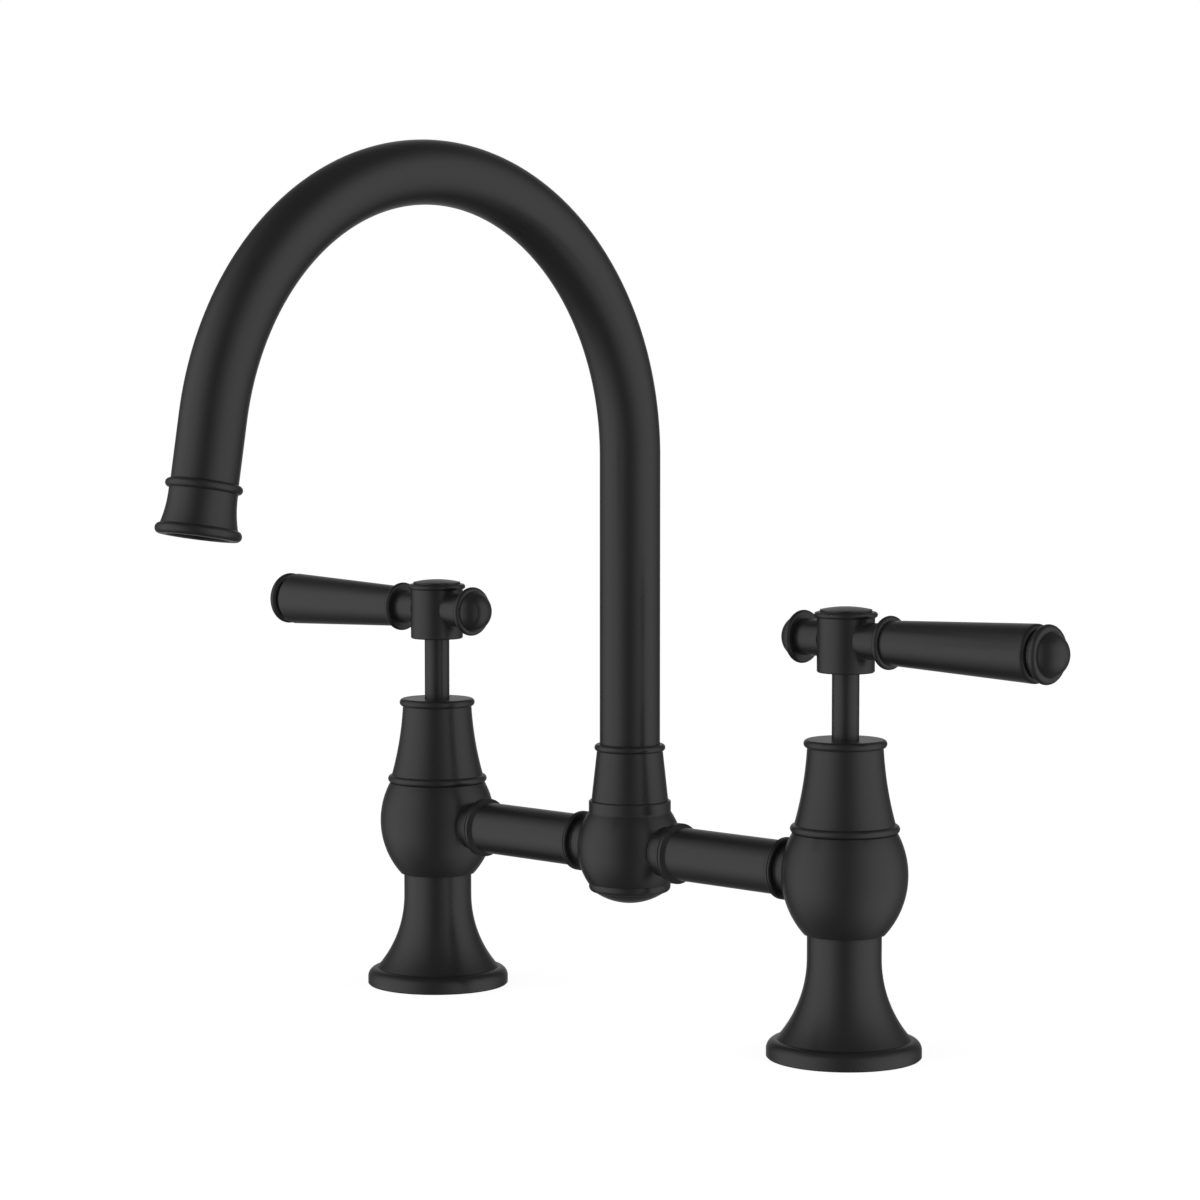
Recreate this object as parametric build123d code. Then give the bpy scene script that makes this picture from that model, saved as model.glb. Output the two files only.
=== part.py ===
from build123d import *
import math
import os

# Bridge kitchen faucet: two valve pillars, a bridge between them and a swivelling gooseneck spout.
# Millimetres. The origin is on the worktop, midway between the inlets. +X runs along the bridge
# to the right-hand pillar, the spout reaches forward along -Y, and +Z is up.

# Layout
inlet_centres = 203.2  # 8 inches between the hot and the cold inlet
bridge_height = 63.0  # axis of the bridge tubes
lever_height = 145.0  # axis of the lever grips
worktop = 30.0  # thickness of the worktop that the shanks pass through

# Clearances
fit_gap = 0.05  # radial, between parts that turn, slide or screw into each other
loose_gap = 0.3  # radial, around a part that only passes through
end_gap = 0.1  # axial play of a part that turns

# Inlet shank, thread G 1/2
shank_radius = 20.955 / 2
shank_bore = 7.0
shank_below = 60.0  # how far it hangs below the worktop's top face
shank_engagement = 11.0
connector_length = 13.0  # free thread for the supply hose
relief_length = 2.0
relief_depth = 1.2
shank_chamfer = 1.0

# Clamp parts under the worktop
clamp_washer_radius = 22.0
rubber_washer_thickness = 2.0
steel_washer_thickness = 1.5
back_nut_flats = 30.0  # across flats
back_nut_height = 8.0

# Skirt
flange_radius = 27.0
flange_edge = 2.8
flange_round = 3.6
edge_break = 0.4
neck_radius = 12.95
flare_rise = 28.0
skirt_height = 43.0
skirt_hollow_radius = 19.5
skirt_hollow_straight = 3.5
skirt_hollow_rise = 22.5
gasket_width = 3.5
gasket_thickness = 1.8
gasket_inset = 2.0  # from the flange's rim to the gasket

# Valve body
ball_foot_radius = 14.2
ball_radius = 21.95
ball_top_radius = 18.2
ball_height = 35.2
bonnet_thread_radius = 14.5
bonnet_thread_length = 5.8
seat_thickness = 2.5
seat_bore = 5.2

# Bridge
tube_radius = 9.6
waterway_radius = 3.8
collar_radius = 11.0
collar_length = 2.4
collar_chamfer_length = 1.3
collar_seam = 0.25  # edge break on both sides of the joint between boss and collar
boss_radius = 9.0
boss_flange_root = 1.4  # thickness of the flange on the boss
boss_flange_rim = 1.1  # and at its rim
valve_boss_reach = 26.2  # from the pillar's axis to the face of the boss
centre_boss_reach = 23.7
spigot_radius = 6.4
spigot_reach = 8.5  # how far the spigot goes into the boss
bridge_oring_inset = 4.0  # from the boss's face to the middle of the O-ring
bridge_oring_depth = 1.2

# Bonnet
wide_bead_radius = 19.0
wide_bead_height = 2.9
cone_top_radius = 13.2
cone_hollow = 0.72  # sagitta of the cone's hollow side
bonnet_height = 32.4
narrow_bead_radius = 14.45
narrow_bead_height = 3.0
bonnet_top_wall = 2.2
bonnet_wall = 2.2

# Valve cartridge
disc_radius = 7.2
disc_thickness = 2.5
disc_port_radius = 2.2
disc_port_circle = 4.2
seat_seal_radius = 7.2
seat_seal_bore = 5.5
seat_seal_height = 1.8
cartridge_wall = 1.25
cartridge_thread_radius = 10.4
cartridge_thread_length = 12.0
cartridge_flange_radius = 12.4
cartridge_flange_height = 1.2
cartridge_gasket_height = 1.0
cartridge_hex_flats = 21.4  # across flats
cartridge_hex_height = 3.0
cartridge_neck_radius = 7.0
cartridge_neck_length = 7.0
window_width = 6.0
window_height = 4.5
spindle_radius = 4.0
spindle_foot_radius = 6.8
spindle_foot_height = 3.0
spindle_top_radius = 3.2
spindle_top_length = 12.0
tang_length = 7.0
tang_width = 2.4
tang_depth = 1.2
spindle_oring_depth = 0.9
spindle_oring_pitch = 4.0
spindle_oring_inset = 8.0
clip_thickness = 1.0
clip_width = 2.6
clip_depth = 0.7

# Stem sleeve and lever hub
stem_radius = 4.75
stem_foot_gap = 2.0
hub_radius = 10.0
hub_below_axis = 11.25
hub_above_axis = 9.65
hub_bead_radius = 10.95
hub_bead_height = 2.0
hub_counterbore = 8.0
hub_floor_above_axis = 4.5
hub_stem_depth = 6.3
hub_neck_radius = 6.4
hub_neck_reach = 18.05
cap_radius = 9.0
cap_edge = 0.75
cap_dome = 1.0
cap_plug_depth = 2.4
screw_radius = 2.0
screw_length = 18.0
screw_head_radius = 3.5
screw_head_height = 2.3
screw_hex = 2.5  # across flats
screw_hex_depth = 1.4

# Lever, measured outwards from the stem's axis
stud_radius = 2.5
stud_inner_reach = 6.2
bead_radius = 9.28
bead_length = 2.44
knob_radius = 7.7
knob_step = 0.4
knob_dome = 5.8
knob_stud_length = 10.0
grip_foot_radius = 7.7
grip_end_radius = 9.95
grip_length = 61.7
grip_round = 1.8
end_neck_length = 1.3
end_bead_radius = 10.0
end_bead_length = 3.2
end_dome_radius = 7.7
end_dome_step = 0.3
end_dome = 5.35
end_hole_depth = 5.7

# Centre body
centre_foot_radius = 15.3
centre_radius = 19.2
centre_top_radius = 15.2
centre_below_axis = 13.0
centre_above_axis = 12.9
ring_radius = 15.0
ring_step = 0.5
ring_height = 3.9
seam_break = 0.3
chamber_radius = 11.0
chamber_above_axis = 6.2
nut_thread_radius = 11.4
nut_thread_length = 11.7

# Bottom cap
bottom_rim_radius = 14.95
bottom_rim_edge = 1.3
bottom_rim_round = 1.9
bottom_dome = 4.2
bottom_plug_length = 4.0

# Spout nut
nut_foot_radius = 14.05
nut_top_radius = 12.05
nut_height = 20.7
nut_bead_radius = 12.95
nut_bead_height = 2.6
nut_bead_root = 11.75

# Spout
spout_radius = 11.0
spout_wall = 1.5
spout_rise = 205.7  # height at which the bend starts
bend_radius = 98.7
bend_angle = 170.0
outlet_run = 21.1  # straight tube below the bend
tail_radius = 9.0
tail_bore = 6.5
tail_below_clip = 1.5
tail_plug_length = 12.0
tail_oring_depth = 1.1
tail_oring_pitch = 6.0
tail_oring_inset = 5.0
bearing_thickness = 1.2
spout_clip_thickness = 1.2
spout_clip_radius = 10.4
spout_clip_depth = 1.0

# Outlet, measured along the outlet's axis from the end of the tube
outlet_plug_length = 8.0
outlet_bore = 8.0
outlet_bead_radius = 12.55
outlet_bead_height = 3.0
waist_radius = 11.15
waist_height = 1.0
flare_end_radius = 12.6
flare_height = 10.6
lip_radius = 14.07
lip_root = 12.8
lip_height = 3.5
aerator_chamber_radius = 10.2
aerator_chamber_depth = 11.9
aerator_seal_height = 1.5
aerator_seal_bore = 8.2
aerator_opening = 8.75
aerator_recess = 0.2
aerator_ledge = 0.6
aerator_ledge_height = 1.0
aerator_ledge_inset = 2.5
screen_thickness = 1.2
screen_hole_radius = 0.75
screen_hole_pitch = 2.3
screen_rings = 3
screen_first_ring = 6  # holes

sides = {"left": -1, "right": 1}
half_span = inlet_centres / 2
os.makedirs("parts", exist_ok=True)


def turned(*outline):
    """Solid of revolution about Z of a closed outline of (radius, height) points. A number before
    a point bends the line to it into an arc of that sagitta, positive to the right of the way: that
    is outwards where the outer side is drawn upwards. A list is a point that the arc passes
    through; that arc becomes a spline, because its centre may lie beyond the axis."""
    curves = []
    here = outline[0]
    bend = None
    for item in outline[1:] + outline[:1]:
        if not isinstance(item, tuple):
            bend = item
            continue
        if bend is None:
            curves.append(Line(here, item))
        elif isinstance(bend, list):
            curves.append(ThreePointArc(here, tuple(bend), item).to_splines().edge())
        else:
            curves.append(SagittaArc(here, item, -bend))
        here = item
        bend = None
    return revolve(Plane.XZ * make_face(curves), Axis.Z)


def tangent_sag(run, rise):
    """Sagitta of an arc that spans run and rise and ends parallel to run."""
    radius = (run**2 + rise**2) / (2 * rise)
    return radius - math.sqrt(radius**2 - (run**2 + rise**2) / 4)


def rod(radius, low, high):
    return Pos(0, 0, low) * Cylinder(radius, high - low, align=(Align.CENTER, Align.CENTER, Align.MIN))


def ring(inner, outer, low, high):
    return rod(outer, low, high) - rod(inner, low, high)


def hexagon(flats, height):
    """Hexagonal prism from zero up, of that width across its flats."""
    return extrude(RegularPolygon(flats / 2, 6, major_radius=False), height)


def oring(inner, outer, middle):
    section = (outer - inner) / 2
    return Pos(0, 0, middle) * Torus(inner + section, section)


def groove(inner, outer, middle):
    """Square groove as wide as the O-ring that lies in it."""
    half = (outer - inner) / 2
    return ring(inner, outer + loose_gap, middle - half, middle + half)


def pillar(side):
    """Frame of a pillar: Z up its axis, from the worktop."""
    return Pos(side * half_span, 0, 0)


def lever(side):
    """Frame of a lever: Z outwards along the grip, from the stem's axis."""
    return Pos(side * half_span, 0, lever_height) * Rot(0, side * 90, 0)


def bridge(side):
    """Frame of one half of the bridge: Z outwards along the tube, from the middle."""
    return Pos(0, 0, bridge_height) * Rot(0, side * 90, 0)


def write(name, shape):
    """Write one piece, or a list of like pieces, as one file."""
    if isinstance(shape, list):
        shape = Compound(children=[piece.solid() for piece in shape])
    shape.label = name
    export_step(shape, f"parts/{name}.step")


# Heights on the pillar, from the worktop up
shank_top = skirt_height + shank_engagement
seat_top = shank_top + seat_thickness
ball_top = skirt_height + ball_height
valve_top = ball_top + bonnet_thread_length
fixed_disc_foot = seat_top + seat_seal_height
moving_disc_foot = fixed_disc_foot + disc_thickness
spindle_foot = moving_disc_foot + disc_thickness
cartridge_shoulder = spindle_foot + spindle_foot_height + end_gap
cartridge_flange_foot = valve_top + cartridge_gasket_height
cartridge_hex_foot = cartridge_flange_foot + cartridge_flange_height
cartridge_neck_foot = cartridge_hex_foot + cartridge_hex_height
cartridge_top = cartridge_neck_foot + cartridge_neck_length
clip_foot = cartridge_top + end_gap
stem_foot = clip_foot + clip_thickness + stem_foot_gap
spindle_top = stem_foot + spindle_top_length
bonnet_top = ball_top + bonnet_height
hub_foot = lever_height - hub_below_axis
hub_top = lever_height + hub_above_axis
hub_floor = lever_height + hub_floor_above_axis
stem_top = hub_foot + hub_stem_depth

# Radii that follow from the fits
shank_socket = shank_radius + fit_gap
cartridge_bore = disc_radius + fit_gap
cartridge_radius = cartridge_bore + cartridge_wall
valve_bore = cartridge_thread_radius + fit_gap
spigot_socket = spigot_radius + fit_gap
stud_socket = stud_radius + fit_gap


def inlet_shank():
    relief_foot = -shank_below + shank_chamfer + connector_length
    relief_radius = shank_radius - relief_depth
    return turned(
        (shank_bore, -shank_below),
        (shank_radius - shank_chamfer, -shank_below),
        (shank_radius, -shank_below + shank_chamfer),
        (shank_radius, relief_foot),
        (relief_radius, relief_foot),
        (relief_radius, relief_foot + relief_length),
        (shank_radius, relief_foot + relief_length),
        (shank_radius, shank_top),
        (shank_bore, shank_top),
    )


def skirt():
    flange_top = flange_edge + flange_round
    foot_radius = flange_radius - flange_round
    flare_spread = foot_radius - neck_radius
    bore = shank_radius + loose_gap
    gasket_outer = flange_radius - gasket_inset
    hollow_top = skirt_hollow_straight + skirt_hollow_rise
    return turned(
        (bore, skirt_height),
        (neck_radius, skirt_height),
        (neck_radius, flange_top + flare_rise),
        tangent_sag(flare_rise, flare_spread),
        (foot_radius, flange_top),
        -tangent_sag(flange_round, flange_round),
        (flange_radius, flange_edge),
        (flange_radius, edge_break),
        (flange_radius - edge_break, 0),
        (gasket_outer, 0),
        (gasket_outer, gasket_thickness),
        (gasket_outer - gasket_width, gasket_thickness),
        (gasket_outer - gasket_width, 0),
        (skirt_hollow_radius, 0),
        (skirt_hollow_radius, skirt_hollow_straight),
        (bore, hollow_top),
    )


def base_gasket():
    outer = flange_radius - gasket_inset
    return ring(outer - gasket_width, outer, 0, gasket_thickness)


def clamp_washer(top, thickness):
    return ring(shank_radius + loose_gap, clamp_washer_radius, top - thickness, top)


def back_nut(top):
    foot = top - back_nut_height
    return Pos(0, 0, foot) * hexagon(back_nut_flats, back_nut_height) - rod(shank_socket, foot, top)


def boss(reach):
    """Boss along Z with a thin flange at its face, as wide as the collar."""
    rim_foot = reach - boss_flange_rim
    return turned(
        (0, 0),
        (boss_radius, 0),
        (boss_radius, reach - boss_flange_root),
        (collar_radius - edge_break, rim_foot),
        (collar_radius, rim_foot + edge_break),
        (collar_radius, reach - collar_seam),
        (collar_radius - collar_seam, reach),
        (0, reach),
    )


def boss_bores(reach):
    """Socket for the tube's spigot in a boss of that reach, and the waterway behind it."""
    socket_floor = reach - spigot_reach - loose_gap
    return rod(spigot_socket, socket_floor, reach) + rod(waterway_radius, 0, reach)


def valve_body(side):
    inwards = Pos(0, 0, bridge_height) * Rot(0, -side * 90, 0)
    ball = turned(
        (0, skirt_height),
        (ball_foot_radius, skirt_height),
        [ball_radius, bridge_height],
        (ball_top_radius, ball_top),
        (bonnet_thread_radius, ball_top),
        (bonnet_thread_radius, valve_top),
        (0, valve_top),
    )
    body = ball + inwards * boss(valve_boss_reach)
    body -= rod(shank_socket, skirt_height, shank_top)
    body -= rod(seat_bore, shank_top, seat_top)
    body -= rod(valve_bore, seat_top, valve_top)
    return body - inwards * boss_bores(valve_boss_reach)


def bonnet():
    bead_top = ball_top + wide_bead_height
    wide_bead_root = wide_bead_radius - wide_bead_height / 2
    top_bead_foot = bonnet_top - narrow_bead_height
    narrow_bead_root = narrow_bead_radius - narrow_bead_height / 2
    stem_hole = stem_radius + 2 * fit_gap
    return turned(
        (bonnet_thread_radius + fit_gap, ball_top),
        (wide_bead_root, ball_top),
        wide_bead_height / 2,
        (wide_bead_root, bead_top),
        -cone_hollow,
        (cone_top_radius, top_bead_foot),
        (narrow_bead_root, top_bead_foot),
        narrow_bead_height / 2,
        (narrow_bead_root, bonnet_top),
        (stem_hole, bonnet_top),
        (stem_hole, bonnet_top - bonnet_top_wall),
        (cone_top_radius - bonnet_wall, bonnet_top - bonnet_top_wall),
        (bonnet_thread_radius + fit_gap, valve_top),
    )


def cartridge():
    body = turned(
        (cartridge_bore, seat_top + end_gap),
        (cartridge_radius, seat_top + end_gap),
        (cartridge_radius, valve_top - cartridge_thread_length),
        (cartridge_thread_radius, valve_top - cartridge_thread_length),
        (cartridge_thread_radius, cartridge_flange_foot),
        (cartridge_flange_radius, cartridge_flange_foot),
        (cartridge_flange_radius, cartridge_hex_foot),
        (cartridge_neck_radius, cartridge_hex_foot),
        (cartridge_neck_radius, cartridge_top),
        (spindle_radius + fit_gap, cartridge_top),
        (spindle_radius + fit_gap, cartridge_shoulder),
        (cartridge_bore, cartridge_shoulder),
    )
    body += Pos(0, 0, cartridge_hex_foot) * hexagon(cartridge_hex_flats, cartridge_hex_height)
    body -= rod(spindle_radius + fit_gap, cartridge_hex_foot, cartridge_neck_foot)
    window_middle = moving_disc_foot + window_height / 2
    through = 2 * cartridge_thread_radius
    return body - Pos(0, 0, window_middle) * Box(through, window_width, window_height)


def cartridge_gasket():
    return ring(valve_bore, cartridge_flange_radius, valve_top, cartridge_flange_foot)


def seat_seal():
    return ring(seat_seal_bore, seat_seal_radius, seat_top, fixed_disc_foot)


def ceramic_disc(foot, port_angle):
    disc = rod(disc_radius, foot, foot + disc_thickness)
    for half_turn in (0, 180):
        port = Pos(disc_port_circle, 0, 0) * rod(disc_port_radius, foot, foot + disc_thickness)
        disc -= Rot(0, 0, port_angle + half_turn) * port
    return disc


def tang(gap):
    """Key between the spindle's foot and the moving disc, at right angles to its ports."""
    height = tang_depth + gap
    block = Box(tang_width + 2 * gap, tang_length + 2 * gap, height)
    return Pos(0, 0, spindle_foot - height / 2) * block


def moving_disc():
    return ceramic_disc(moving_disc_foot, 0) - tang(fit_gap)


def spindle_oring_heights():
    first = cartridge_shoulder + spindle_oring_inset
    return [first, first + spindle_oring_pitch]


def spindle():
    clip_top = clip_foot + clip_thickness
    shaft = turned(
        (0, spindle_foot),
        (spindle_foot_radius, spindle_foot),
        (spindle_foot_radius, cartridge_shoulder - end_gap),
        (spindle_radius, cartridge_shoulder - end_gap),
        (spindle_radius, clip_foot),
        (spindle_radius - clip_depth, clip_foot),
        (spindle_radius - clip_depth, clip_top),
        (spindle_radius, clip_top),
        (spindle_radius, stem_foot),
        (spindle_top_radius, stem_foot),
        (spindle_top_radius, spindle_top),
        (0, spindle_top),
    )
    for middle in spindle_oring_heights():
        shaft -= groove(spindle_radius - spindle_oring_depth, spindle_radius, middle)
    return shaft + tang(0)


def spindle_orings():
    return [oring(spindle_radius - spindle_oring_depth, spindle_radius, z) for z in spindle_oring_heights()]


def spindle_clip():
    inner = spindle_radius - clip_depth
    return ring(inner, inner + clip_width, clip_foot, clip_foot + clip_thickness)


def stem():
    socket = spindle_top_radius + fit_gap
    socket_top = spindle_top + end_gap
    screw_hole = screw_radius + fit_gap
    return turned(
        (socket, stem_foot),
        (stem_radius, stem_foot),
        (stem_radius, stem_top),
        (screw_hole, stem_top),
        (screw_hole, hub_floor - screw_length - end_gap),
        (0, hub_floor - screw_length - end_gap),
        (0, socket_top),
        (socket, socket_top),
    )


def hub():
    bead_foot = hub_top - hub_bead_height
    bead_root = hub_bead_radius - hub_bead_height / 2
    body = turned(
        (0, hub_foot),
        (hub_radius - edge_break, hub_foot),
        (hub_radius, hub_foot + edge_break),
        (hub_radius, bead_foot),
        (bead_root, bead_foot),
        hub_bead_height / 2,
        (bead_root, hub_top),
        (hub_counterbore, hub_top),
        (hub_counterbore, hub_floor),
        (0, hub_floor),
    )
    for turn in (-90, 90):
        along = Pos(0, 0, lever_height) * Rot(0, turn, 0)
        body += along * rod(hub_neck_radius, hub_counterbore, hub_neck_reach)
        body -= along * rod(stud_socket, stud_inner_reach, hub_neck_reach)
    body -= rod(stem_radius + fit_gap, hub_foot, stem_top)
    return body - rod(screw_radius + fit_gap, stem_top, hub_floor)


def hub_screw():
    head_top = hub_floor + screw_head_height
    screw = rod(screw_radius, hub_floor - screw_length, hub_floor)
    screw += rod(screw_head_radius, hub_floor, head_top)
    return screw - Pos(0, 0, head_top - screw_hex_depth) * hexagon(screw_hex, screw_hex_depth)


def hub_cap():
    plug_radius = hub_counterbore - fit_gap
    edge_top = hub_top + cap_edge
    return turned(
        (0, hub_top - cap_plug_depth),
        (plug_radius, hub_top - cap_plug_depth),
        (plug_radius, hub_top),
        (cap_radius, hub_top),
        (cap_radius, edge_top),
        tangent_sag(cap_radius, cap_dome),
        (0, edge_top + cap_dome),
    )


def ferrule():
    root = bead_radius - bead_length / 2
    end = hub_neck_reach + bead_length
    return turned(
        (stud_socket, hub_neck_reach),
        (root, hub_neck_reach),
        bead_length / 2,
        (root, end),
        (stud_socket, end),
    )


def knob():
    root = bead_radius - bead_length / 2
    bead_end = hub_neck_reach + bead_length
    dome_foot = bead_end + knob_step
    return turned(
        (0, hub_neck_reach - knob_stud_length),
        (stud_radius, hub_neck_reach - knob_stud_length),
        (stud_radius, hub_neck_reach),
        (root, hub_neck_reach),
        bead_length / 2,
        (root, bead_end),
        (knob_radius, bead_end),
        (knob_radius, dome_foot),
        tangent_sag(knob_radius, knob_dome),
        (0, dome_foot + knob_dome),
    )


grip_foot = hub_neck_reach + bead_length
grip_end = grip_foot + grip_length
end_neck_radius = grip_end_radius - grip_round


def grip():
    return turned(
        (stud_socket, grip_foot),
        (grip_foot_radius, grip_foot),
        (grip_end_radius, grip_end - grip_round),
        tangent_sag(grip_round, grip_round),
        (end_neck_radius, grip_end),
        (stud_socket, grip_end),
    )


def end_cap():
    bead_foot = grip_end + end_neck_length
    bead_end = bead_foot + end_bead_length
    root = end_bead_radius - end_bead_length / 2
    dome_foot = bead_end + end_dome_step
    return turned(
        (stud_socket, grip_end),
        (end_neck_radius, grip_end),
        (end_neck_radius, bead_foot),
        (root, bead_foot),
        end_bead_length / 2,
        (root, bead_end),
        (end_dome_radius, bead_end),
        (end_dome_radius, dome_foot),
        tangent_sag(end_dome_radius, end_dome),
        (0, dome_foot + end_dome),
        (0, grip_end + end_hole_depth),
        (stud_socket, grip_end + end_hole_depth),
    )


def lever_stud():
    return rod(stud_radius, stud_inner_reach, grip_end + end_hole_depth - end_gap)


# Faces of the bosses and O-rings of one half of the bridge, measured from the middle
inner_face = centre_boss_reach
outer_face = half_span - valve_boss_reach
bridge_oring_middles = (inner_face - bridge_oring_inset, outer_face + bridge_oring_inset)


def bridge_collar():
    """Ring round the spigot, from the face of a boss at height 0 to the shoulder of the tube."""
    return turned(
        (spigot_socket, 0),
        (collar_radius - collar_seam, 0),
        (collar_radius, collar_seam),
        (collar_radius, collar_length - collar_chamfer_length),
        (tube_radius, collar_length),
        (spigot_socket, collar_length),
    )


def bridge_collars():
    at_centre = Pos(0, 0, inner_face) * bridge_collar()
    at_valve = Pos(0, 0, outer_face) * Rot(180, 0, 0) * bridge_collar()
    return [bridge(side) * collar for side in sides.values() for collar in (at_centre, at_valve)]


def bridge_tube():
    """Tube along Z with a spigot at each end, which goes through a collar into a boss."""
    spigot_foot = inner_face - spigot_reach
    spigot_top = outer_face + spigot_reach
    tube = rod(tube_radius, inner_face + collar_length, outer_face - collar_length)
    tube += rod(spigot_radius, spigot_foot, spigot_top)
    for middle in bridge_oring_middles:
        tube -= groove(spigot_radius - bridge_oring_depth, spigot_radius, middle)
    return tube - rod(waterway_radius, spigot_foot, spigot_top)


def bridge_orings():
    inner = spigot_radius - bridge_oring_depth
    seals = [oring(inner, spigot_radius, middle) for middle in bridge_oring_middles]
    return [bridge(side) * seal for side in sides.values() for seal in seals]


# Heights on the centre body
centre_foot = bridge_height - centre_below_axis
centre_ball_top = bridge_height + centre_above_axis
ring_foot = centre_ball_top + ring_step
ring_top = ring_foot + ring_height
chamber_top = bridge_height + chamber_above_axis
centre_top = ring_top + nut_thread_length
tube_foot = centre_top + bearing_thickness + fit_gap
nut_top = ring_top + nut_height


def centre_body():
    body = turned(
        (0, centre_foot),
        (centre_foot_radius, centre_foot),
        [centre_radius, bridge_height],
        (centre_top_radius, centre_ball_top),
        (ring_radius, ring_foot),
        (ring_radius, ring_top - seam_break),
        (ring_radius - seam_break, ring_top),
        (nut_thread_radius, ring_top),
        (nut_thread_radius, centre_top),
        (0, centre_top),
    )
    for side in sides.values():
        body += bridge(side) * boss(centre_boss_reach)
    body -= rod(chamber_radius, centre_foot, chamber_top)
    body -= rod(tail_radius + fit_gap, chamber_top, centre_top)
    for side in sides.values():
        body -= bridge(side) * boss_bores(centre_boss_reach)
    return body


def bottom_cap():
    rim_foot = centre_foot - bottom_rim_edge
    dome_foot = rim_foot - bottom_rim_round
    dome_radius = bottom_rim_radius - bottom_rim_round
    plug_radius = chamber_radius - fit_gap
    return turned(
        (0, dome_foot - bottom_dome),
        tangent_sag(dome_radius, bottom_dome),
        (dome_radius, dome_foot),
        tangent_sag(bottom_rim_round, bottom_rim_round),
        (bottom_rim_radius, rim_foot),
        (bottom_rim_radius, centre_foot),
        (plug_radius, centre_foot),
        (plug_radius, centre_foot + bottom_plug_length),
        (0, centre_foot + bottom_plug_length),
    )


def spout_nut():
    bead_foot = nut_top - nut_bead_height
    guide = spout_radius + fit_gap
    thread = nut_thread_radius + fit_gap
    return turned(
        (thread, ring_top),
        (nut_foot_radius, ring_top),
        (nut_top_radius, bead_foot),
        (nut_bead_root, bead_foot),
        nut_bead_radius - nut_bead_root,
        (nut_bead_root, nut_top),
        (guide, nut_top),
        (guide, tube_foot + end_gap),
        (thread, tube_foot + end_gap),
    )


def spout_bearing():
    return ring(tail_radius + 2 * fit_gap, nut_thread_radius, centre_top, centre_top + bearing_thickness)


clip_top = chamber_top - end_gap
tail_foot = clip_top - spout_clip_thickness - tail_below_clip


def tail_oring_heights():
    first = ring_top - tail_oring_inset
    return [first, first + tail_oring_pitch]


def spout_tail():
    clip_root = tail_radius - spout_clip_depth
    plug_radius = spout_radius - spout_wall - fit_gap
    tail = turned(
        (tail_bore, tail_foot),
        (tail_radius, tail_foot),
        (tail_radius, clip_top - spout_clip_thickness),
        (clip_root, clip_top - spout_clip_thickness),
        (clip_root, clip_top),
        (tail_radius, clip_top),
        (tail_radius, tube_foot),
        (plug_radius, tube_foot),
        (plug_radius, tube_foot + tail_plug_length),
        (tail_bore, tube_foot + tail_plug_length),
    )
    for middle in tail_oring_heights():
        tail -= groove(tail_radius - tail_oring_depth, tail_radius, middle)
    return tail


def spout_orings():
    return [oring(tail_radius - tail_oring_depth, tail_radius, z) for z in tail_oring_heights()]


def spout_clip():
    clip_root = tail_radius - spout_clip_depth
    return ring(clip_root, spout_clip_radius, clip_top - spout_clip_thickness, clip_top)


# End of the bend, and the frame of the outlet: Z along the water's way out, from there
bend_turn = math.radians(bend_angle)
bend_end_reach = bend_radius * (1 - math.cos(bend_turn))
bend_end_height = spout_rise + bend_radius * math.sin(bend_turn)
outlet = Pos(0, -bend_end_reach, bend_end_height) * Rot(bend_angle, 0, 0)


def spout_tube():
    section = Circle(spout_radius) - Circle(spout_radius - spout_wall)
    bend_axis = Axis((0, -bend_radius, spout_rise), (1, 0, 0))
    tube = extrude(Pos(0, 0, tube_foot) * section, spout_rise - tube_foot)
    tube += revolve(Pos(0, 0, spout_rise) * section, bend_axis, bend_angle)
    return tube + outlet * extrude(section, outlet_run)


def outlet_shell():
    bead_foot = outlet_run
    bead_end = bead_foot + outlet_bead_height
    bead_root = outlet_bead_radius - outlet_bead_height / 2
    waist_end = bead_end + waist_height
    flare_end = waist_end + flare_height
    lip_end = flare_end + lip_height
    plug_radius = spout_radius - spout_wall - fit_gap
    return turned(
        (outlet_bore, bead_foot - outlet_plug_length),
        (plug_radius, bead_foot - outlet_plug_length),
        (plug_radius, bead_foot),
        (bead_root, bead_foot),
        outlet_bead_height / 2,
        (bead_root, bead_end),
        (waist_radius, bead_end),
        (waist_radius, waist_end),
        -tangent_sag(flare_height, flare_end_radius - waist_radius),
        (flare_end_radius, flare_end),
        (lip_root, flare_end),
        lip_radius - lip_root,
        (lip_root, lip_end),
        (aerator_chamber_radius, lip_end),
        (aerator_chamber_radius, lip_end - aerator_chamber_depth),
        (outlet_bore, lip_end - aerator_chamber_depth),
    )


mouth = outlet_run + outlet_bead_height + waist_height + flare_height + lip_height
aerator_foot = mouth - aerator_chamber_depth
aerator_end = mouth - aerator_recess
ledge_end = aerator_end - aerator_ledge_inset
ledge_foot = ledge_end - aerator_ledge_height
aerator_radius = aerator_chamber_radius - fit_gap


def aerator_seal():
    return ring(aerator_seal_bore, aerator_radius, aerator_foot, aerator_foot + aerator_seal_height)


def aerator_housing():
    ledge_radius = aerator_opening - aerator_ledge
    housing_foot = aerator_foot + aerator_seal_height
    return turned(
        (aerator_opening, housing_foot),
        (aerator_radius, housing_foot),
        (aerator_radius, aerator_end),
        (aerator_opening, aerator_end),
        (aerator_opening, ledge_end),
        (ledge_radius, ledge_end),
        (ledge_radius, ledge_foot),
        (aerator_opening, ledge_foot),
    )


def aerator_screen():
    """Disc with a centre hole and rings around it, each with more holes than the last."""
    foot = ledge_foot - screen_thickness
    hole = rod(screen_hole_radius, foot, ledge_foot)
    holes = [hole]
    for count in range(1, screen_rings + 1):
        holes += PolarLocations(count * screen_hole_pitch, count * screen_first_ring) * hole
    return rod(aerator_opening - fit_gap, foot, ledge_foot) - holes


def both(shape):
    """The same piece on the left and on the right pillar, as one list."""
    return [pillar(side) * shape for side in sides.values()]


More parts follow.
